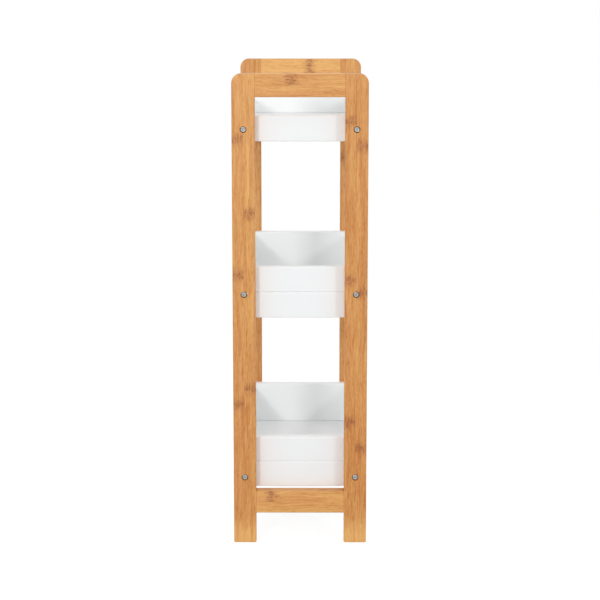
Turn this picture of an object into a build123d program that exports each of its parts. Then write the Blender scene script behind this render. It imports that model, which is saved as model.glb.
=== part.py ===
from build123d import *
import os

# Slim free-standing bathroom shelf unit: two bamboo end frames with three painted trays between
# them. Lengths are in millimetres. The origin is on the floor under the middle of the unit, Z is
# up, X runs across an end frame, and Y runs along the trays from the front frame to the rear one.

# Whole unit
unit_height = 700.0
unit_depth = 198.0  # over the two posts of an end frame
unit_length = 410.0  # over the two end frames

# End frames
frame_thickness = 20.0
post_width = 33.5
rail_height = 33.5
rail_clearance = 46.0  # from the floor to the underside of a bottom rail
frame_corner_radius = 13.5
bamboo_edge_radius = 2.0
foot_edge_bevel = 1.0
rail_end_bevel = 0.4  # leaves the hairline that shows where a rail meets a post

# Tenons on the rail ends, glued into mortises in the posts
tenon_length = 20.0
tenon_height = 24.0
tenon_thickness = 8.0

# Trays
tray_inset = 4.0  # from the outside of the posts to the outside of the trays
tray_wall = 15.0
shallow_wall_height = 38.0
deep_wall_height = 76.0
board_edge_radius = 1.5
board_groove_width = 3.0
board_groove_depth = 1.8
corner_rabbet = 4.0  # depth of the step in an end wall that takes the end of a side wall
low_gap = 2.5  # from the bottom rail up to the lowest tray
high_gap = 27.5  # from the highest tray up to the top rail
middle_tray_drop = 1.5  # below the place half-way between the lowest tray and the highest
low_bolt_rise = 19.0  # height of the lowest bolts in their tray wall

# Tray floors, housed in the walls
floor_thickness = 6.0
floor_rise = 6.0  # from the bottom edge of the walls to the underside of the floor
floor_housing = 4.0  # depth of the housing in a wall
floor_play = 0.3

# Bolts and the threaded inserts that take them
bolt_diameter = 5.0
bolt_head_diameter = 8.5
bolt_head_height = 5.0
bolt_head_bevel = 0.5
bolt_socket_flats = 4.0
bolt_socket_depth = 2.5
bolt_sink = 1.5  # head below the face of the post
bolt_hole_play = 0.3  # round the shank in the post
bolt_head_play = 0.55  # round the head in its counterbore
insert_diameter = 8.0
insert_side_count = 12  # the knurling of an insert, drawn as flats
insert_cover = 1.0  # board left between an insert and the corner rabbet
thread_play = 0.05
bolt_tip_play = 3.5  # between the tip of a bolt and the end of its insert

# Fits of glued and pressed pieces
glue_play = 0.1  # round a tenon
tenon_end_play = 1.0
insert_play = 0.05  # round an insert

# Places that follow from the sizes above
frame_inner_y = unit_length / 2 - frame_thickness
frame_middle_y = unit_length / 2 - frame_thickness / 2
post_inner_x = unit_depth / 2 - post_width
post_middle_x = unit_depth / 2 - post_width / 2
top_rail_z = unit_height - rail_height
bottom_rail_top = rail_clearance + rail_height
tray_width = unit_depth - 2 * tray_inset
tray_inner_x = tray_width / 2 - tray_wall
tray_inner_y = frame_inner_y - tray_wall
side_wall_end_y = tray_inner_y + corner_rabbet
counterbore_depth = bolt_sink + bolt_head_height
insert_length = tray_wall - corner_rabbet - insert_cover
bolt_length = frame_thickness - counterbore_depth + insert_length - bolt_tip_play

lowest_tray_z = bottom_rail_top + low_gap
highest_tray_z = top_rail_z - high_gap - shallow_wall_height
middle_tray_z = (lowest_tray_z + highest_tray_z) / 2 - middle_tray_drop

# Each tray: name, bottom edge of its walls, wall height, bolt height in the wall, grooved boards
trays = [
    ("top_tray", highest_tray_z, shallow_wall_height, shallow_wall_height / 2, False),
    ("middle_tray", middle_tray_z, deep_wall_height, deep_wall_height / 2, True),
    ("bottom_tray", lowest_tray_z, deep_wall_height, low_bolt_rise, True),
]
bolt_heights = [bottom + bolt_rise for name, bottom, height, bolt_rise, grooved in trays]

# Working planes: both look at the unit from the front, with X to the right and Z up
frame_face = Plane.XZ.offset(unit_length / 2)
tray_face = Plane.XZ.offset(frame_inner_y)

LOW_LEFT = (Align.MIN, Align.MIN)
LOW_CENTRE = (Align.CENTER, Align.MIN)


def save(builder, label):
    """Label a finished piece and write its file."""
    builder.part.label = label
    export_step(builder.part, f"parts/{label}.step")


def make_post(label, side, end):
    """A post, made as the right front one and mirrored to its own corner.

    The outer edges are rounded from the foot round the top corner. The inner edges are rounded
    below and between the rails only, so that the rails meet a square edge.
    """
    with BuildPart() as post:
        with BuildSketch(frame_face):
            with Locations((post_inner_x, 0)):
                Rectangle(post_width, unit_height, align=LOW_LEFT)
            top_corners = vertices().group_by(Axis.Y)[-1]
            fillet(top_corners.sort_by(Axis.X)[-1], frame_corner_radius)
        extrude(amount=-frame_thickness)
        for face_edges in (edges().group_by(Axis.Y)[0], edges().group_by(Axis.Y)[-1]):
            fillet(face_edges.sort_by(Axis.X)[1:].sort_by(Axis.Z)[1:], bamboo_edge_radius)
        for low, high in ((0, rail_clearance), (bottom_rail_top, top_rail_z)):
            with BuildSketch(Plane.XY.offset(low)):
                with Locations((post_inner_x, -frame_middle_y)):
                    Rectangle(bamboo_edge_radius, frame_thickness, align=(Align.MIN, Align.CENTER))
                with Locations((post_middle_x, -frame_middle_y)):
                    RectangleRounded(post_width, frame_thickness, bamboo_edge_radius, mode=Mode.SUBTRACT)
            extrude(amount=high - low, mode=Mode.SUBTRACT)
        chamfer(faces().sort_by(Axis.Z)[0].edges(), foot_edge_bevel)
        with Locations(frame_face):
            with Locations(*[(post_middle_x, height) for height in bolt_heights]):
                CounterBoreHole(
                    radius=bolt_diameter / 2 + bolt_hole_play,
                    counter_bore_radius=bolt_head_diameter / 2 + bolt_head_play,
                    counter_bore_depth=counterbore_depth,
                )
        mortises = [(-frame_middle_y, rail_z + rail_height / 2) for rail_z in (rail_clearance, top_rail_z)]
        with BuildSketch(Plane.YZ.offset(post_inner_x)):
            with Locations(*mortises):
                Rectangle(tenon_thickness + 2 * glue_play, tenon_height + 2 * glue_play)
        extrude(amount=tenon_length + tenon_end_play, mode=Mode.SUBTRACT)
        if side < 0:
            mirror(about=Plane.YZ, mode=Mode.REPLACE)
        if end > 0:
            mirror(about=Plane.XZ, mode=Mode.REPLACE)
    save(post, label)


def make_rail(label, rail_z, end):
    """A rail with a tenon at each end, made for the front frame and mirrored for the rear one."""
    with BuildPart() as rail:
        with BuildSketch(Plane.YZ):
            with Locations((-frame_middle_y, rail_z)):
                Rectangle(frame_thickness, rail_height, align=LOW_CENTRE)
            fillet(vertices(), bamboo_edge_radius)
        extrude(amount=post_inner_x, both=True)
        chamfer(faces().sort_by(Axis.X)[0].edges(), rail_end_bevel)
        chamfer(faces().sort_by(Axis.X)[-1].edges(), rail_end_bevel)
        with BuildSketch(Plane.YZ):
            with Locations((-frame_middle_y, rail_z + rail_height / 2)):
                Rectangle(tenon_thickness, tenon_height)
        extrude(amount=post_inner_x + tenon_length, both=True)
        if end > 0:
            mirror(about=Plane.XZ, mode=Mode.REPLACE)
    save(rail, label)


def make_end_wall(label, tray, end):
    """The wall board against an end frame, made at the front and mirrored for the rear.

    It is as wide as the tray. Its upright edges stay square, because posts and side walls meet them.
    """
    name, bottom, height, bolt_rise, grooved = tray
    with BuildPart() as wall:
        with BuildSketch(tray_face):
            with Locations((0, bottom)):
                Rectangle(tray_width, height, align=LOW_CENTRE)
        extrude(amount=-tray_wall)
        fillet(edges() - edges().filter_by(Axis.Z), board_edge_radius)
        with BuildSketch(Plane.XZ.offset(tray_inner_y)):
            with Locations((0, bottom + floor_rise)):
                Rectangle(2 * tray_inner_x, floor_thickness + floor_play, align=LOW_CENTRE)
        extrude(amount=floor_housing, mode=Mode.SUBTRACT)
        with BuildSketch(Plane.XZ.offset(tray_inner_y)):
            with Locations((-tray_width / 2, bottom)):
                Rectangle(tray_wall, height, align=LOW_LEFT)
            mirror(about=Plane.YZ)
        extrude(amount=corner_rabbet, mode=Mode.SUBTRACT)
        with Locations(tray_face):
            with Locations(*[(side * post_middle_x, bottom + bolt_rise) for side in (-1, 1)]):
                Hole(insert_diameter / 2 + insert_play, depth=insert_length + insert_play)
        if grooved:
            with BuildSketch(Plane.YZ):
                with BuildLine():
                    Polyline(*groove_points(-frame_inner_y, board_groove_depth, bottom, height), close=True)
                make_face()
            extrude(amount=tray_width, both=True, mode=Mode.SUBTRACT)
        if end > 0:
            mirror(about=Plane.XZ, mode=Mode.REPLACE)
    save(wall, label)


def groove_points(face, depth, bottom, height):
    """Corners of the V groove's section, half-way up a wall, cut from its face by a signed depth."""
    middle = bottom + height / 2
    return [
        (face, middle - board_groove_width / 2),
        (face + depth, middle),
        (face, middle + board_groove_width / 2),
    ]


def make_side_wall(label, tray, side):
    """A long wall board, made as one grooved section, housed in the end walls and mirrored at the left."""
    name, bottom, height, bolt_rise, grooved = tray
    with BuildPart() as wall:
        with BuildSketch(Plane.XZ.offset(side_wall_end_y)):
            with Locations((tray_inner_x, bottom)):
                Rectangle(tray_wall, height, align=LOW_LEFT)
            fillet(vertices(), board_edge_radius)
            with Locations((tray_inner_x, bottom + floor_rise)):
                Rectangle(2 * floor_housing, floor_thickness + floor_play, align=LOW_CENTRE,
                          mode=Mode.SUBTRACT)
            if grooved:
                with BuildLine():
                    Polyline(*groove_points(tray_width / 2, -board_groove_depth, bottom, height), close=True)
                make_face(mode=Mode.SUBTRACT)
        extrude(amount=-2 * side_wall_end_y)
        if side < 0:
            mirror(about=Plane.YZ, mode=Mode.REPLACE)
    save(wall, label)


def make_floor(label, tray):
    """The floor panel, which lies in the housings of all four walls."""
    name, bottom, height, bolt_rise, grooved = tray
    edge_in_wall = floor_housing - floor_play
    with BuildPart() as floor:
        with BuildSketch(Plane.XY.offset(bottom + floor_rise)):
            Rectangle(2 * (tray_inner_x + edge_in_wall), 2 * (tray_inner_y + edge_in_wall))
        extrude(amount=floor_thickness)
    save(floor, label)


def make_inserts(label, tray):
    """The four threaded inserts of a tray, pressed into the outside of its end walls."""
    name, bottom, height, bolt_rise, grooved = tray
    with BuildPart() as inserts:
        with BuildSketch(tray_face):
            with Locations(*[(side * post_middle_x, bottom + bolt_rise) for side in (-1, 1)]):
                RegularPolygon(insert_diameter / 2, insert_side_count)
                Circle(bolt_diameter / 2 + thread_play, mode=Mode.SUBTRACT)
        extrude(amount=-insert_length)
        mirror(about=Plane.XZ)
    save(inserts, label)


def make_bolts(label, tray):
    """The four socket head bolts of a tray, sunk in the posts and screwed into the inserts."""
    name, bottom, height, bolt_rise, grooved = tray
    places = [(side * post_middle_x, bottom + bolt_rise) for side in (-1, 1)]
    with BuildPart() as bolts:
        with BuildSketch(frame_face.offset(-bolt_sink)):
            with Locations(*places):
                Circle(bolt_head_diameter / 2)
        extrude(amount=-bolt_head_height)
        chamfer(edges().filter_by(GeomType.CIRCLE).group_by(Axis.Y)[0], bolt_head_bevel)
        with BuildSketch(frame_face.offset(-counterbore_depth)):
            with Locations(*places):
                Circle(bolt_diameter / 2)
        extrude(amount=-bolt_length)
        with BuildSketch(frame_face.offset(-bolt_sink)):
            with Locations(*places):
                RegularPolygon(bolt_socket_flats / 2, 6, major_radius=False)
        extrude(amount=-bolt_socket_depth, mode=Mode.SUBTRACT)
        mirror(about=Plane.XZ)
    save(bolts, label)


def make_end_frame(name, end):
    """Posts and rails of the front or the rear end frame."""
    make_post(f"{name}_left_post", -1, end)
    make_post(f"{name}_right_post", 1, end)
    make_rail(f"{name}_top_rail", top_rail_z, end)
    make_rail(f"{name}_bottom_rail", rail_clearance, end)


def make_tray(tray):
    """Boards and fasteners of one tray."""
    name = tray[0]
    make_end_wall(f"{name}_front_wall", tray, -1)
    make_end_wall(f"{name}_rear_wall", tray, 1)
    make_side_wall(f"{name}_left_wall", tray, -1)
    make_side_wall(f"{name}_right_wall", tray, 1)
    make_floor(f"{name}_floor", tray)
    make_inserts(f"{name}_inserts", tray)
    make_bolts(f"{name}_bolts", tray)


os.makedirs("parts", exist_ok=True)
make_end_frame("front", -1)
make_end_frame("rear", 1)
for tray in trays:
    make_tray(tray)
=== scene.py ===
import math

import bpy
import numpy as np
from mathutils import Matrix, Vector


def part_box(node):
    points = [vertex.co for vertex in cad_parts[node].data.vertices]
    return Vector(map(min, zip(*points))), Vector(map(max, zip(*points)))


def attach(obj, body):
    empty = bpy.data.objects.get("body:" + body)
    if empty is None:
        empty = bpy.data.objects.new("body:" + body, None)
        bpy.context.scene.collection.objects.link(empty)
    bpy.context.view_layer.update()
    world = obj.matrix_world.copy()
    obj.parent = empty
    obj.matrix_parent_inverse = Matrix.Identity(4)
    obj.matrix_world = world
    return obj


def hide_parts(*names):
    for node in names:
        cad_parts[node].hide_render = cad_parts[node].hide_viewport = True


# Bathroom shelf unit: two bamboo end frames, three white painted trays, and the bolts that hold
# them together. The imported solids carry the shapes. Here they get their finishes, the plain bolts
# are replaced by finer ones, and the unit is lit in front of a white ground. Lengths are in metres
# unless a comment says mm.

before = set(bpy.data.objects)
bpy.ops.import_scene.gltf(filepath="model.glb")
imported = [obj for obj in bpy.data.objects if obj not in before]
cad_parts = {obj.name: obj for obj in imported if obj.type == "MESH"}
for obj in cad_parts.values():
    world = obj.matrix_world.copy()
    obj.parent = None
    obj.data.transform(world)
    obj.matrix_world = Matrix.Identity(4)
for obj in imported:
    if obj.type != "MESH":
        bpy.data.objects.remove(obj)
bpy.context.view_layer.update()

MM = 0.001
PER_MM = 1000.0  # object coordinates are metres, and the patterns below are worked out in mm


def linear(code):
    """An sRGB hex colour as linear red, green, blue and alpha."""
    parts = [int(code[i:i + 2], 16) / 255 for i in (1, 3, 5)]
    return (*[p / 12.92 if p <= 0.04045 else ((p + 0.055) / 1.055) ** 2.4 for p in parts], 1.0)


def add(tree, kind, inputs=None, **settings):
    """Add a node with its settings, and set or link its inputs, by name or by number.

    A node given as an input is linked by its first output.
    """
    made = tree.nodes.new(kind)
    for name, value in settings.items():
        setattr(made, name, value)
    for socket, value in (inputs or {}).items():
        if isinstance(value, bpy.types.Node):
            value = value.outputs[0]
        if isinstance(value, bpy.types.NodeSocket):
            tree.links.new(value, made.inputs[socket])
        else:
            made.inputs[socket].default_value = value
    return made


def new_material(name):
    """An empty node material, with its tree and its output node."""
    made = bpy.data.materials.new(name)
    made.use_nodes = True
    made.node_tree.nodes.clear()
    return made, made.node_tree, add(made.node_tree, "ShaderNodeOutputMaterial")


# Mix Color node: numbers of its two colour inputs and of its colour output
MIX_A, MIX_B, MIX_OUT = 6, 7, 2

# Bamboo strips and layers, mm
STRIP = 16.75  # width of a glued strip
LAYER = 5.0  # thickness of a layer of strips
STAGGER = 0.37  # shift from one layer to the next, in strip widths
FRAME_THICKNESS = 20.0
CULM_JOINT = 235.0  # usual distance between the joints of the culm
FAR = 1000.0  # puts the mark of another strip out of reach
CULM_SPREAD = (90.0, 70.0, 0.0)  # how far apart two culms lie in the noise
SWAY = (7.0, 7.0, 0.0)  # how far fibres wander
SWAY_PER_MM = 0.016

# Bamboo patterns: waves per mm across the strips, through the layers and along the fibres
FINE_FIBRES = (0.52, 0.52, 0.022)  # about 2 mm wide and 45 mm long, coarser than real to show
BROAD_STREAKS = (0.12, 0.12, 0.006)  # about 8 mm wide and 160 mm long
DARK_BUNDLES = (0.6, 0.6, 0.06)  # dashes about 1.6 mm wide and 16 mm long
CUT_PORES = (1.0, 1.0, 0.14)  # about 1 mm wide and 7 mm long
HUE_STRETCHES = (0.05, 0.05, 0.004)  # yellower and redder, about 20 mm wide and 250 mm long
RAGGED_EDGE = (0.3, 0.3, 0.14)  # of the marks at the joints
STITCHES = (0.55, 0.55, 0.16)  # vessels cut through in the marks

# Limits of noise between which a pattern comes up
BUNDLE_LIMITS = (0.56, 0.72)
HUE_LIMITS = (0.35, 0.65)
STITCH_LIMITS = (0.4, 0.62)

# Stain of the culm's joints: how far it reaches and how far its edge wanders, mm
HALO_REACH = (1.0, 15.0)
HALO_STAIN = 0.32
CORE_REACH = (0.0, 7.0)
CORE_STAIN = 0.5
RAGGEDNESS = 26.0

# Bamboo tone: each pattern adds its share, and the sum runs from pale to brown
FINE_SHARE = 1.4
BROAD_SHARE = 1.2
STRIP_SHARE = 0.25
BUNDLE_SHARE = 0.32
PORE_SHARE = 0.9
# Painted light on the feet of the posts, standing in for light bounced up from the floor
FOOT_PAINTED_LIGHT = -0.75
FOOT_PAINTED_LIGHT_REACH = (-345.0, -300.0)  # mm from the middle of a post
PALE_SUM = 1.39
BROWN_SUM = 2.64

# Bamboo colours
PALE_YELLOW, PALE_RED = linear("#EEB669"), linear("#EBAE67")
BROWN = linear("#BB6C25")
JOINT_BROWN = linear("#91481F")
END_BROWN = linear("#A86E3A")
END_FACING = (0.75, 1.0)  # how squarely a face cuts the fibres before it darkens
END_STAIN = 0.28


def streaks(tree, fibres, per_mm, detail, roughness=0.5):
    """Noise stretched along the fibres, with waves per mm across, through and along them."""
    stretched = add(tree, "ShaderNodeVectorMath", {0: fibres, 1: per_mm}, operation="MULTIPLY")
    return add(tree, "ShaderNodeTexNoise", {
        "Vector": stretched, "Scale": 1.0, "Detail": detail, "Roughness": roughness})


def strip_cells(tree, across, through, seed):
    """Numbers of the strip and of its layer, and three chances that each strip has for itself."""
    layer = add(tree, "ShaderNodeMath", {0: through, 1: FRAME_THICKNESS / 2}, operation="ADD")
    layer = add(tree, "ShaderNodeMath", {0: layer, 1: LAYER}, operation="DIVIDE")
    layer = add(tree, "ShaderNodeMath", {0: layer}, operation="FLOOR")
    # Joints of the next layer lie beside those of the one above
    stagger = add(tree, "ShaderNodeMath", {0: layer, 1: STAGGER}, operation="MULTIPLY")
    strip = add(tree, "ShaderNodeMath", {0: across, 1: 1 / STRIP, 2: stagger}, operation="MULTIPLY_ADD")
    strip = add(tree, "ShaderNodeMath", {0: strip}, operation="FLOOR")
    cell = add(tree, "ShaderNodeCombineXYZ", {0: strip, 1: layer, 2: float(seed)})
    chance = add(tree, "ShaderNodeTexWhiteNoise", {"Vector": cell}, noise_dimensions="3D")
    return strip, layer, chance.outputs["Color"]


def joint_distance(tree, along, strip, layer, phase, marks):
    """Distance in mm to the nearest joint of the culm.

    Joints come every CULM_JOINT mm, from a start that each strip has for itself. On the front
    layer the listed marks take their place.
    """
    turns = add(tree, "ShaderNodeMath", {0: along, 1: 1 / CULM_JOINT, 2: phase}, operation="MULTIPLY_ADD")
    turns = add(tree, "ShaderNodeMath", {0: turns}, operation="FRACT")
    turns = add(tree, "ShaderNodeMath", {0: turns, 1: 0.5}, operation="SUBTRACT")
    turns = add(tree, "ShaderNodeMath", {0: turns}, operation="ABSOLUTE")
    gap = add(tree, "ShaderNodeMath", {0: turns, 1: CULM_JOINT}, operation="MULTIPLY")
    if not marks:
        return gap
    nearest = None
    for mark_strip, height in marks:
        rise = add(tree, "ShaderNodeMath", {0: along, 1: height}, operation="SUBTRACT")
        rise = add(tree, "ShaderNodeMath", {0: rise}, operation="ABSOLUTE")
        side = add(tree, "ShaderNodeMath", {0: strip, 1: mark_strip}, operation="SUBTRACT")
        side = add(tree, "ShaderNodeMath", {0: side}, operation="ABSOLUTE")
        reach = add(tree, "ShaderNodeMath", {0: side, 1: FAR, 2: rise}, operation="MULTIPLY_ADD")
        nearest = reach if nearest is None else add(
            tree, "ShaderNodeMath", {0: nearest, 1: reach}, operation="MINIMUM")
    on_front = add(tree, "ShaderNodeMath", {0: layer, 1: 0.0, 2: 0.5}, operation="COMPARE")
    return add(tree, "ShaderNodeMix", {0: on_front, 2: gap, 3: nearest}, data_type="FLOAT")


def joint_stain(tree, fibres, gap):
    """Brown stain of a joint from 0 to 1: a wide halo, and a core of cut vessels, both ragged."""
    ragged = streaks(tree, fibres, RAGGED_EDGE, 2.0)
    ragged = add(tree, "ShaderNodeMath", {0: ragged, 1: RAGGEDNESS, 2: -RAGGEDNESS / 2},
                 operation="MULTIPLY_ADD")
    gap = add(tree, "ShaderNodeMath", {0: gap, 1: ragged}, operation="ADD")
    halo, core = [
        add(tree, "ShaderNodeMapRange", {0: gap, 1: start, 2: end, 3: 1.0, 4: 0.0},
            interpolation_type="SMOOTHSTEP")
        for start, end in (HALO_REACH, CORE_REACH)]
    stitch = streaks(tree, fibres, STITCHES, 1.0)
    stitch = add(tree, "ShaderNodeMapRange", {
        0: stitch, 1: STITCH_LIMITS[0], 2: STITCH_LIMITS[1], 3: 0.0, 4: 1.0})
    stain = add(tree, "ShaderNodeMath", {0: core, 1: stitch}, operation="MULTIPLY")
    stain = add(tree, "ShaderNodeMath", {0: stain, 1: CORE_STAIN}, operation="MULTIPLY")
    return add(tree, "ShaderNodeMath", {0: halo, 1: HALO_STAIN, 2: stain}, operation="MULTIPLY_ADD")


def bamboo(node, upright, seed, tone, drift, marks):
    """Laminated bamboo: culms split and planed into strips, glued flat in layers, sanded and
    given a clear satin lacquer.

    The eye gets 17 mm strips of slightly different tone, fine straight fibres along them, short
    dark bundles, and brown ragged marks where the culm had its joints. The pattern is solid, so
    the edges of a board show its layers and its ends show the cut fibres.

    tone darkens the whole board, and drift darkens it towards its foot. marks are (strip, height)
    pairs on the front layer: strips count from the middle of the board, and the height is
    measured along it from its middle, in mm.
    """
    made, tree, output = new_material("lacquered_bamboo_" + node)
    low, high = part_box(node)
    middle = [(a + b) / 2 * PER_MM for a, b in zip(low, high)]
    turn = (0, 0, 0) if upright else (0, math.radians(90), 0)
    centre = middle if upright else (middle[2], middle[1], -middle[0])

    # x runs across the strips, y through the layers and z along the fibres, in mm
    where = add(tree, "ShaderNodeTexCoord")
    place = add(tree, "ShaderNodeMapping", {
        "Vector": where.outputs["Object"], "Scale": (PER_MM,) * 3, "Rotation": turn,
        "Location": [-c for c in centre]})
    axes = add(tree, "ShaderNodeSeparateXYZ", {0: place})
    across, through, along = axes.outputs
    strip, layer, chance = strip_cells(tree, across, through, seed)
    chances = add(tree, "ShaderNodeSeparateXYZ", {0: chance})
    strip_tone, strip_phase = chances.outputs[:2]

    # Each strip comes from another culm, so its fibres start elsewhere in the noise, and they
    # wander by about a millimetre over the length of a hand
    jump = add(tree, "ShaderNodeVectorMath", {0: chance, 1: CULM_SPREAD}, operation="MULTIPLY")
    shifted = add(tree, "ShaderNodeVectorMath", {0: place, 1: jump}, operation="ADD")
    sway = add(tree, "ShaderNodeTexNoise", {"Vector": shifted, "Scale": SWAY_PER_MM, "Detail": 1.0})
    sway = add(tree, "ShaderNodeVectorMath", {0: sway.outputs["Color"], 1: SWAY}, operation="MULTIPLY")
    fibres = add(tree, "ShaderNodeVectorMath", {0: shifted, 1: sway}, operation="ADD")

    fine = streaks(tree, fibres, FINE_FIBRES, 4.0, 0.6)
    broad = streaks(tree, fibres, BROAD_STREAKS, 2.0)
    bundles = streaks(tree, fibres, DARK_BUNDLES, 1.0)
    bundles = add(tree, "ShaderNodeMapRange", {
        0: bundles, 1: BUNDLE_LIMITS[0], 2: BUNDLE_LIMITS[1], 3: 0.0, 4: 1.0})
    pores = streaks(tree, fibres, CUT_PORES, 2.0)
    hue = streaks(tree, fibres, HUE_STRETCHES, 2.0)
    hue = add(tree, "ShaderNodeMapRange", {
        0: hue, 1: HUE_LIMITS[0], 2: HUE_LIMITS[1], 3: 0.0, 4: 1.0})

    # Tone from 0, pale, to 1, brown
    depth = tone
    shares = [(fine, FINE_SHARE), (broad, BROAD_SHARE), (strip_tone, STRIP_SHARE),
              (bundles, BUNDLE_SHARE), (pores, PORE_SHARE), (along, -drift * MM)]
    for pattern, share in shares:
        depth = add(tree, "ShaderNodeMath", {0: pattern, 1: share, 2: depth}, operation="MULTIPLY_ADD")
    if upright:
        # Painted light: the feet are paler, standing in for light bounced up from the floor
        foot = add(tree, "ShaderNodeMapRange",
                   {0: along, 1: FOOT_PAINTED_LIGHT_REACH[0], 2: FOOT_PAINTED_LIGHT_REACH[1], 3: FOOT_PAINTED_LIGHT, 4: 0.0},
                   interpolation_type="SMOOTHSTEP")
        depth = add(tree, "ShaderNodeMath", {0: depth, 1: foot}, operation="ADD")
    depth = add(tree, "ShaderNodeMapRange", {0: depth, 1: PALE_SUM, 2: BROWN_SUM, 3: 0.0, 4: 1.0})
    pale = add(tree, "ShaderNodeMix", {0: hue, MIX_A: PALE_YELLOW, MIX_B: PALE_RED}, data_type="RGBA")
    body = add(tree, "ShaderNodeMix", {0: depth, MIX_A: pale.outputs[MIX_OUT], MIX_B: BROWN},
               data_type="RGBA")
    gap = joint_distance(tree, along, strip, layer, strip_phase, marks)
    stain = joint_stain(tree, fibres, gap)
    body = add(tree, "ShaderNodeMix", {0: stain, MIX_A: body.outputs[MIX_OUT], MIX_B: JOINT_BROWN},
               data_type="RGBA")

    # Cut ends of the fibres drink more lacquer and look darker
    facing = add(tree, "ShaderNodeSeparateXYZ", {0: where.outputs["Normal"]})
    ends = add(tree, "ShaderNodeMath", {0: facing.outputs[2 if upright else 0]}, operation="ABSOLUTE")
    ends = add(tree, "ShaderNodeMapRange", {
        0: ends, 1: END_FACING[0], 2: END_FACING[1], 3: 0.0, 4: END_STAIN})
    body = add(tree, "ShaderNodeMix", {0: ends, MIX_A: body.outputs[MIX_OUT], MIX_B: END_BROWN},
               data_type="RGBA")

    rough = add(tree, "ShaderNodeMapRange", {0: fine, 1: 0.3, 2: 0.7, 3: 0.42, 4: 0.52})
    # Sanded fibres stand about 0.04 mm proud under the lacquer
    grain = add(tree, "ShaderNodeBump", {"Strength": 0.5, "Distance": 0.08 * MM, "Height": fine})
    surface = add(tree, "ShaderNodeBsdfPrincipled", {
        "Base Color": body.outputs[MIX_OUT], "Roughness": rough, "Normal": grain, "IOR": 1.5,
        "Coat Weight": 0.12, "Coat Roughness": 0.3})
    tree.links.new(surface.outputs[0], output.inputs["Surface"])
    return made


ORANGE_PEEL_PER_MM = 0.33  # dimples of about 3 mm, twice the real size so that they show
PAINT_CLOUD_PER_MM = 0.012  # uneven paint over a hand's breadth
ZINC_CRYSTALS_PER_MM = 2.5  # crystals of about 0.4 mm


def painted_board(name):
    """Fibreboard sprayed with white satin paint and rubbed down between coats.

    The eye gets an even, neutral white with a soft sheen, and a very faint orange peel.
    """
    made, tree, output = new_material(name)
    where = add(tree, "ShaderNodeTexCoord")
    place = add(tree, "ShaderNodeMapping", {"Vector": where.outputs["Object"], "Scale": (PER_MM,) * 3})
    peel = add(tree, "ShaderNodeTexNoise", {"Vector": place, "Scale": ORANGE_PEEL_PER_MM, "Detail": 2.0})
    cloud = add(tree, "ShaderNodeTexNoise", {"Vector": place, "Scale": PAINT_CLOUD_PER_MM, "Detail": 2.0})
    colour = add(tree, "ShaderNodeMix", {0: cloud, MIX_A: linear("#F8F9F9"), MIX_B: linear("#F6F7F7")},
                 data_type="RGBA")
    rough = add(tree, "ShaderNodeMapRange", {0: cloud, 1: 0.3, 2: 0.7, 3: 0.36, 4: 0.44})
    relief = add(tree, "ShaderNodeBump", {"Strength": 0.25, "Distance": 0.04 * MM, "Height": peel})
    surface = add(tree, "ShaderNodeBsdfPrincipled", {
        "Base Color": colour.outputs[MIX_OUT], "Roughness": rough, "Normal": relief, "IOR": 1.48})
    tree.links.new(surface.outputs[0], output.inputs["Surface"])
    return made


def zinc_plate(name, colour, roughness):
    """Steel, cold headed and plated with bright zinc.

    The eye gets a grey metal with blurred highlights and a fine crystalline mottle.
    """
    made, tree, output = new_material(name)
    where = add(tree, "ShaderNodeTexCoord")
    place = add(tree, "ShaderNodeMapping", {"Vector": where.outputs["Object"], "Scale": (PER_MM,) * 3})
    mottle = add(tree, "ShaderNodeTexNoise", {
        "Vector": place, "Scale": ZINC_CRYSTALS_PER_MM, "Detail": 3.0})
    tint = add(tree, "ShaderNodeMix", {0: mottle, MIX_A: linear(colour), MIX_B: linear("#8E9194")},
               data_type="RGBA")
    rough = add(tree, "ShaderNodeMapRange", {
        0: mottle, 1: 0.3, 2: 0.7, 3: roughness, 4: roughness + 0.12})
    relief = add(tree, "ShaderNodeBump", {"Strength": 0.3, "Distance": 0.02 * MM, "Height": mottle})
    surface = add(tree, "ShaderNodeBsdfPrincipled", {
        "Base Color": tint.outputs[MIX_OUT], "Metallic": 1.0, "Roughness": rough, "Normal": relief})
    tree.links.new(surface.outputs[0], output.inputs["Surface"])
    return made


def dress(node, finish):
    """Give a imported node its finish."""
    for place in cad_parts[node].material_slots:
        place.material = finish


# Finishes of the end frames: node, upright, seed, tone, drift, and the marks where culm joints
# show on the face towards the viewer
boards = [
    ("front_left_post", True, 3, 0.1, 0.45, [(-1, 256), (-1, 58), (-1, -137), (0, 148), (0, -112)]),
    ("front_right_post", True, 8, 0.27, 0.15,
     [(-1, 281), (-1, 50), (-1, -165), (0, 246), (0, 30), (0, -205)]),
    ("front_top_rail", False, 5, -0.1, 0.0, [(0, 13)]),
    ("front_bottom_rail", False, 12, -0.03, 0.0, [(0, 43)]),
    ("rear_left_post", True, 21, 0.2, 0.2, []),
    ("rear_right_post", True, 26, 0.18, 0.45, []),
    # Painted light: the rear top rail is toned paler, standing in for the stronger light that falls on it
    ("rear_top_rail", False, 31, -0.34, 0.0, [(0, -14), (-1, -14)]),
    ("rear_bottom_rail", False, 37, 0.08, 0.0, []),
]
for node, upright, seed, tone, drift, marks in boards:
    dress(node, bamboo(node, upright, seed, tone, drift, marks))

satin_white = painted_board("satin_painted_fibreboard")
bright_zinc = zinc_plate("bright_zinc_plated_steel", "#BBB8B0", 0.32)
dull_zinc = zinc_plate("dull_zinc_plated_steel", "#B4B6B4", 0.4)

trays = ("top_tray", "middle_tray", "bottom_tray")
for tray in trays:
    for board in ("front_wall", "rear_wall", "left_wall", "right_wall", "floor"):
        dress(f"{tray}_{board}", satin_white)
    dress(f"{tray}_inserts", dull_zinc)
    dress(f"{tray}_bolts", bright_zinc)


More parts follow.
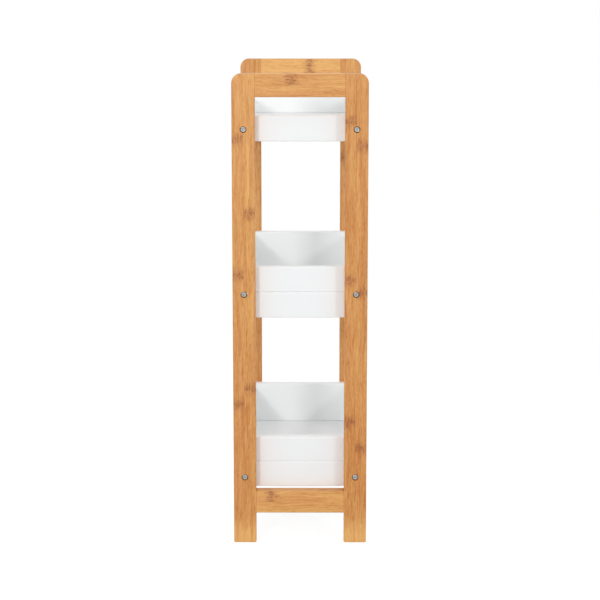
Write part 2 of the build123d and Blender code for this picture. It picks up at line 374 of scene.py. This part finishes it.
# Bolts, lengths in mm
BOLT_COLUMNS = 36
HEAD_RADIUS = 4.25
HEAD_HEIGHT = 5.0
RIM_ROUNDING = 0.9
RIM_ROWS = 5
EDGE_BEVEL = 0.3  # under the head and at the start of the shank
BOLT_LENGTH = 25.0
SOCKET_FLATS = 4.0
SOCKET_DEPTH = 2.5
SOCKET_BEVEL = 0.5
RIB_DEPTH = 0.12
RIB_MARGIN = 0.2  # smooth bands above and below the ribs
THREAD_RADIUS = 2.45
THREAD_DEPTH = 0.4
THREAD_PITCH = 0.8
THREAD_START = 6.0
THREAD_END = 24.4
TIP_BEVEL = 0.15
ROWS_PER_PITCH = 6
SHARP_EDGE = math.radians(35)


def bolt_rings():
    """Rings of one hexagon socket bolt along +Y, the top of its head at y = 0, in mm.

    A ring is (r cos a, y, -r sin a). r follows the flats of a hexagon in the socket, is constant
    on the rounded rim, alternates on the ribbed side of the head, and on the shank follows a
    triangle wave of (y / pitch - a / turn), which is the thread.
    """
    angle = np.arange(BOLT_COLUMNS) * 2 * np.pi / BOLT_COLUMNS
    ring = np.ones(BOLT_COLUMNS)
    hexagon = SOCKET_FLATS / 2 / np.cos(angle % (np.pi / 3) - np.pi / 6)
    ribs = HEAD_RADIUS - RIB_DEPTH * (np.arange(BOLT_COLUMNS) % 2)
    neck = THREAD_RADIUS + EDGE_BEVEL
    rows = [(SOCKET_DEPTH, hexagon), (SOCKET_BEVEL / 2, hexagon)]
    rows += [(0.0, ring * (SOCKET_FLATS / 2 + SOCKET_BEVEL))]
    for a in np.linspace(0, np.pi / 2, RIM_ROWS):
        rim = HEAD_RADIUS - RIM_ROUNDING * (1 - np.sin(a))
        rows.append((RIM_ROUNDING * (1 - np.cos(a)), ring * rim))
    rows += [(RIM_ROUNDING + RIB_MARGIN, ribs), (HEAD_HEIGHT - EDGE_BEVEL - RIB_MARGIN, ribs)]
    rows += [(HEAD_HEIGHT - EDGE_BEVEL, ring * HEAD_RADIUS)]
    rows += [(HEAD_HEIGHT, ring * (HEAD_RADIUS - EDGE_BEVEL)), (HEAD_HEIGHT, ring * neck)]
    rows += [(HEAD_HEIGHT + EDGE_BEVEL, ring * THREAD_RADIUS)]
    count = round((THREAD_END - THREAD_START) / THREAD_PITCH * ROWS_PER_PITCH)
    for y in np.linspace(THREAD_START, THREAD_END, count):
        wave = np.abs(2 * ((y / THREAD_PITCH - angle / (2 * np.pi)) % 1) - 1)
        rows.append((y, THREAD_RADIUS - THREAD_DEPTH * wave))
    rows.append((BOLT_LENGTH, ring * (THREAD_RADIUS - THREAD_DEPTH - TIP_BEVEL)))
    y = np.array([row[0] for row in rows])[:, None] * ring
    r = np.array([row[1] for row in rows])
    return np.stack([r * np.cos(angle), y, -r * np.sin(angle)], axis=-1)


def ring_squares(count, columns):
    """Squares between neighbouring rings, as the numbers of their corners."""
    row, column = np.meshgrid(np.arange(count - 1), np.arange(columns), indexing="ij")
    beside = (column + 1) % columns
    corners = [row * columns + column, (row + 1) * columns + column,
               (row + 1) * columns + beside, row * columns + beside]
    return np.stack(corners, axis=-1).reshape(-1, 4)


def closed_skin(rings):
    """Points and faces of a closed skin over rings: squares between rings, a fan at each end."""
    count, columns, _ = rings.shape
    points = np.concatenate([rings.reshape(-1, 3), rings[:1].mean(1), rings[-1:].mean(1)])
    edge = np.arange(columns)
    other = (edge + 1) % columns
    last = (count - 1) * columns
    first_fan = np.stack([edge, other, np.full(columns, count * columns)], axis=-1)
    last_fan = np.stack([last + other, last + edge, np.full(columns, count * columns + 1)], axis=-1)
    return points, ring_squares(count, columns), np.concatenate([first_fan, last_fan])


def bolt_set(name, node):
    """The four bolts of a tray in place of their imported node, the rear pair turned round."""
    low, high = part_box(node)
    points, squares, fans = closed_skin(bolt_rings() * MM)
    x = high.x - HEAD_RADIUS * MM
    z = (low.z + high.z) / 2
    sides = [(side, turned) for side in (-1, 1) for turned in (1, -1)]
    placed = [(points + (side * x, low.y, z)) * (turned, turned, 1) for side, turned in sides]
    faces = []
    for i in range(len(sides)):
        faces += (squares + i * len(points)).tolist() + (fans + i * len(points)).tolist()
    mesh = bpy.data.meshes.new(name)
    mesh.from_pydata(np.concatenate(placed).tolist(), [], faces)
    mesh.shade_smooth()
    mesh.set_sharp_from_angle(angle=SHARP_EDGE)
    mesh.materials.append(bright_zinc)
    piece = bpy.data.objects.new(name, mesh)
    bpy.context.scene.collection.objects.link(piece)
    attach(piece, "root")
    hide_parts(node)


for tray in trays:
    bolt_set(tray + "_bolt_set", tray + "_bolts")


# Studio: lamps in watts, and the strength of the white surround by direction
KEY_POWER = 17.0
FILL_POWER = 9.0
SURROUND_FRONT = 0.79
SURROUND_REAR = 1.25
SURROUND_TOP = 0.84
SURROUND_TURN = (-0.5, 0.3)  # of the direction's y, where front gives way to rear
SURROUND_RISE = (0.55, 0.8)  # of its z, where the sides give way to the top
DAYLIGHT = (0.975, 0.995, 1.01, 1.0)  # cool enough to keep the boards white beside the bamboo
WHITE = (1, 1, 1, 1)
AIM_HEIGHT = 0.35  # of the lamps, the middle of the unit

# Ground: its share of real light and shadow is full near the unit and fades to plain white
GROUND_RADII = (0.0001, 0.5, 1.0, 2.0, 4.0, 8.0, 12.0)
GROUND_COLUMNS = 64
SHADOW_SHARE = 0.36
SHADOW_FADE = (0.5, 1.4)
SHADOW_GLOW = 0.4  # part of the replaced glow that is put back, so that the veil is as white


def light_ray(tree):
    """1 for rays from the camera, in a gloss or through glass, and 0 for light that falls on the unit."""
    path = add(tree, "ShaderNodeLightPath")
    seen = add(tree, "ShaderNodeMath", {0: path.outputs["Is Camera Ray"], 1: path.outputs["Is Glossy Ray"]},
               operation="MAXIMUM")
    return add(tree, "ShaderNodeMath", {0: seen, 1: path.outputs["Is Transmission Ray"]},
               operation="MAXIMUM")


def white_ground():
    """A round sheet of matt white paper: rings of radius r around the unit, at floor height.

    It shows as plain white, a little darker only where the unit keeps the light off it.
    """
    radii = np.array(GROUND_RADII)
    angle = np.arange(GROUND_COLUMNS) * 2 * np.pi / GROUND_COLUMNS
    x, y = radii[:, None] * np.cos(angle), radii[:, None] * np.sin(angle)
    points = np.stack([x, y, np.zeros_like(x)], axis=-1).reshape(-1, 3)
    mesh = bpy.data.meshes.new("ground")
    mesh.from_pydata(points.tolist(), [], ring_squares(len(radii), GROUND_COLUMNS).tolist())
    made, tree, output = new_material("matt_white_paper")
    paper = add(tree, "ShaderNodeBsdfDiffuse", {"Color": linear("#C0C0C0")})
    where = add(tree, "ShaderNodeTexCoord")
    reach = add(tree, "ShaderNodeVectorMath", {0: where.outputs["Object"]}, operation="LENGTH")
    near = add(tree, "ShaderNodeMapRange", {
        0: reach.outputs["Value"], 1: SHADOW_FADE[0], 2: SHADOW_FADE[1], 3: SHADOW_SHARE, 4: 0.0},
        interpolation_type="SMOOTHSTEP")
    share = add(tree, "ShaderNodeCombineXYZ", {0: near, 1: near, 2: near})
    veil = add(tree, "ShaderNodeBsdfDiffuse", {"Color": share})
    level = add(tree, "ShaderNodeMath", {0: 1.0, 1: near}, operation="SUBTRACT")
    level = add(tree, "ShaderNodeMath", {0: near, 1: SHADOW_GLOW, 2: level}, operation="MULTIPLY_ADD")
    glow = add(tree, "ShaderNodeEmission", {"Color": WHITE, "Strength": level})
    shown = add(tree, "ShaderNodeAddShader", {0: veil, 1: glow})
    mixed = add(tree, "ShaderNodeMixShader", {0: light_ray(tree), 1: paper, 2: shown})
    tree.links.new(mixed.outputs[0], output.inputs["Surface"])
    mesh.materials.append(made)
    ground = bpy.data.objects.new("ground", mesh)
    bpy.context.scene.collection.objects.link(ground)


def white_surround():
    """White all round, seen as white and shining on the unit as an overcast room does.

    Its light is strong from the sides and the rear, and weaker from the front and from above.
    """
    world = bpy.data.worlds.new("white_room")
    world.use_nodes = True
    tree = world.node_tree
    tree.nodes.clear()
    where = add(tree, "ShaderNodeTexCoord")
    axes = add(tree, "ShaderNodeSeparateXYZ", {0: where.outputs["Generated"]})
    ring = add(tree, "ShaderNodeMapRange", {
        0: axes.outputs[1], 1: SURROUND_TURN[0], 2: SURROUND_TURN[1], 3: SURROUND_FRONT, 4: SURROUND_REAR})
    height = add(tree, "ShaderNodeMapRange", {
        0: axes.outputs[2], 1: SURROUND_RISE[0], 2: SURROUND_RISE[1], 3: 0.0, 4: 1.0})
    level = add(tree, "ShaderNodeMix", {0: height, 2: ring, 3: SURROUND_TOP}, data_type="FLOAT")
    shown = add(tree, "ShaderNodeBackground", {"Color": WHITE, "Strength": 1.0})
    fill = add(tree, "ShaderNodeBackground", {"Color": DAYLIGHT, "Strength": level})
    mixed = add(tree, "ShaderNodeMixShader", {0: light_ray(tree), 1: fill, 2: shown})
    output = add(tree, "ShaderNodeOutputWorld")
    tree.links.new(mixed.outputs[0], output.inputs["Surface"])
    bpy.context.scene.world = world


def softbox(name, azimuth, elevation, distance, size, power):
    """A square softbox aimed at the middle of the unit; azimuth is from the front, to the right."""
    a, e = math.radians(azimuth), math.radians(elevation)
    away = np.array([math.sin(a) * math.cos(e), -math.cos(a) * math.cos(e), math.sin(e)])
    lamp = bpy.data.lights.new(name, "AREA")
    lamp.shape = "SQUARE"
    lamp.size = size
    lamp.energy = power
    lamp.color = DAYLIGHT[:3]
    made = bpy.data.objects.new(name, lamp)
    made.location = away * distance + (0, 0, AIM_HEIGHT)
    made.rotation_euler = (math.pi / 2 - e, 0, a)
    bpy.context.scene.collection.objects.link(made)


white_ground()
white_surround()
softbox("key_softbox", azimuth=-17, elevation=15, distance=3.0, size=0.3, power=KEY_POWER)
softbox("fill_softbox", azimuth=34, elevation=21, distance=3.0, size=0.28, power=FILL_POWER)

# Camera: a long lens at chest height in front of the narrow side, pitched down a little
CAMERA_PLACE = (0.0079, -2.8918, 0.8671)
CAMERA_PITCH = -0.18284  # from level, radians
CAMERA_TURN = 0.00296
SENSOR_WIDTH = 36.0  # mm
LENS = 111.83  # mm
camera = bpy.data.cameras.new("camera")
camera.sensor_width = SENSOR_WIDTH
camera.lens = LENS
viewer = bpy.data.objects.new("camera", camera)
viewer.location = CAMERA_PLACE
viewer.rotation_euler = (math.pi / 2 + CAMERA_PITCH, 0, CAMERA_TURN)
bpy.context.scene.collection.objects.link(viewer)
bpy.context.scene.camera = viewer
bpy.context.scene.view_settings.view_transform = "Standard"
